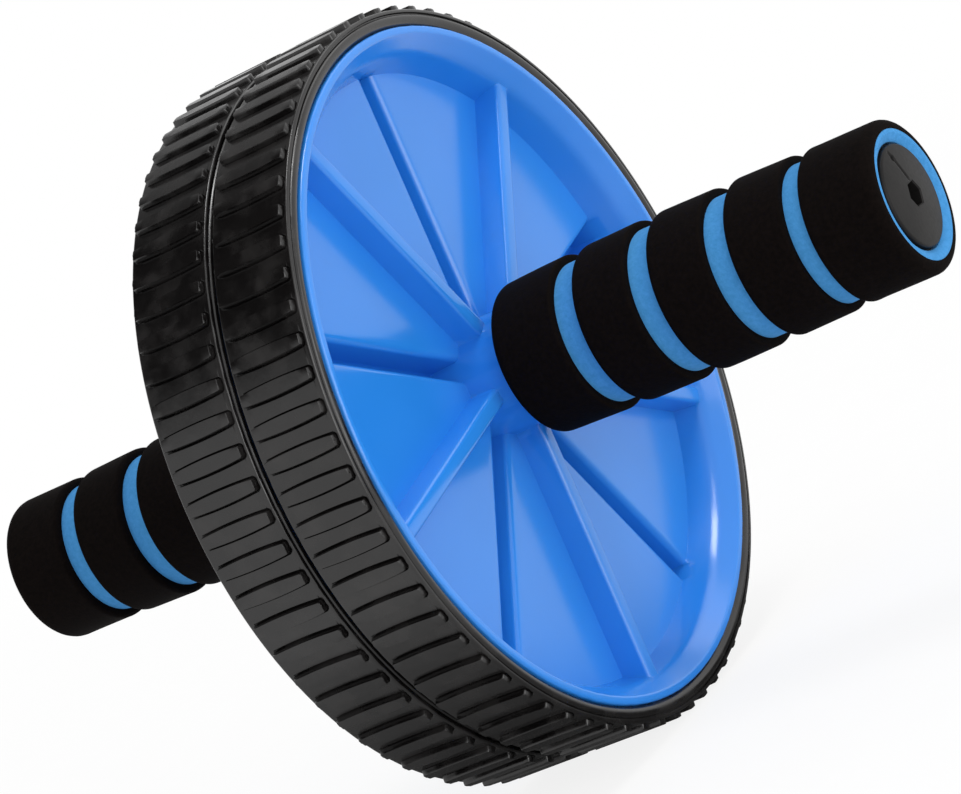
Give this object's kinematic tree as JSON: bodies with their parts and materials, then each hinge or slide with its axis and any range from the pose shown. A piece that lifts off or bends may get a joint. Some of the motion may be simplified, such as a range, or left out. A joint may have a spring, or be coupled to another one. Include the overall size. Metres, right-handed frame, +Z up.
{
  "type": "ab wheel roller",
  "caption": "Ab wheel roller: rubber-tyred dished wheels turn side by side on a steel rod, with a banded foam handle grip on each end.",
  "frame": {"origin": "middle of the rod's axis, between the two wheels", "axes": "+Y along the rod towards the left handle, +Z up, +X forwards along the floor"},
  "size_m": [0.18, 0.258, 0.18],
  "materials": {
    "blue_plastic": "glossy moulded plastic",
    "tyre_rubber": "satin moulded rubber",
    "black_foam": "matte closed-cell foam",
    "blue_foam": "matte closed-cell foam",
    "black_plastic": "satin moulded plastic",
    "steel": "drawn steel rod",
    "washer_nylon": "plain nylon"
  },
  "bodies": {
    "handle": {"axle_rod": "steel", "centre_spacer": "washer_nylon", "right_thrust_washer": "washer_nylon", "right_handle_core": "black_plastic", "right_grip_sleeve": "blue_foam", "right_end_cap": "black_plastic", "right_grip_band_1": "black_foam", "right_grip_band_2": "black_foam", "right_grip_band_3": "black_foam", "right_grip_band_4": "black_foam", "right_grip_band_5": "black_foam", "left_thrust_washer": "washer_nylon", "left_handle_core": "black_plastic", "left_grip_sleeve": "blue_foam", "left_end_cap": "black_plastic", "left_grip_band_1": "black_foam", "left_grip_band_2": "black_foam", "left_grip_band_3": "black_foam", "left_grip_band_4": "black_foam", "left_grip_band_5": "black_foam"},
    "right_wheel": {"right_wheel_disc": "blue_plastic", "right_tyre": "tyre_rubber"},
    "left_wheel": {"left_wheel_disc": "blue_plastic", "left_tyre": "tyre_rubber"}
  },
  "joints": [
    {"name": "right_wheel_spin", "type": "hinge", "parent": "handle", "child": "right_wheel", "pos_m": [0, -0.0119, 0], "axis": [0, 1, 0], "continuous": true},
    {"name": "left_wheel_spin", "type": "hinge", "parent": "handle", "child": "left_wheel", "pos_m": [0, 0.0119, 0], "axis": [0, 1, 0], "continuous": true}
  ]
}
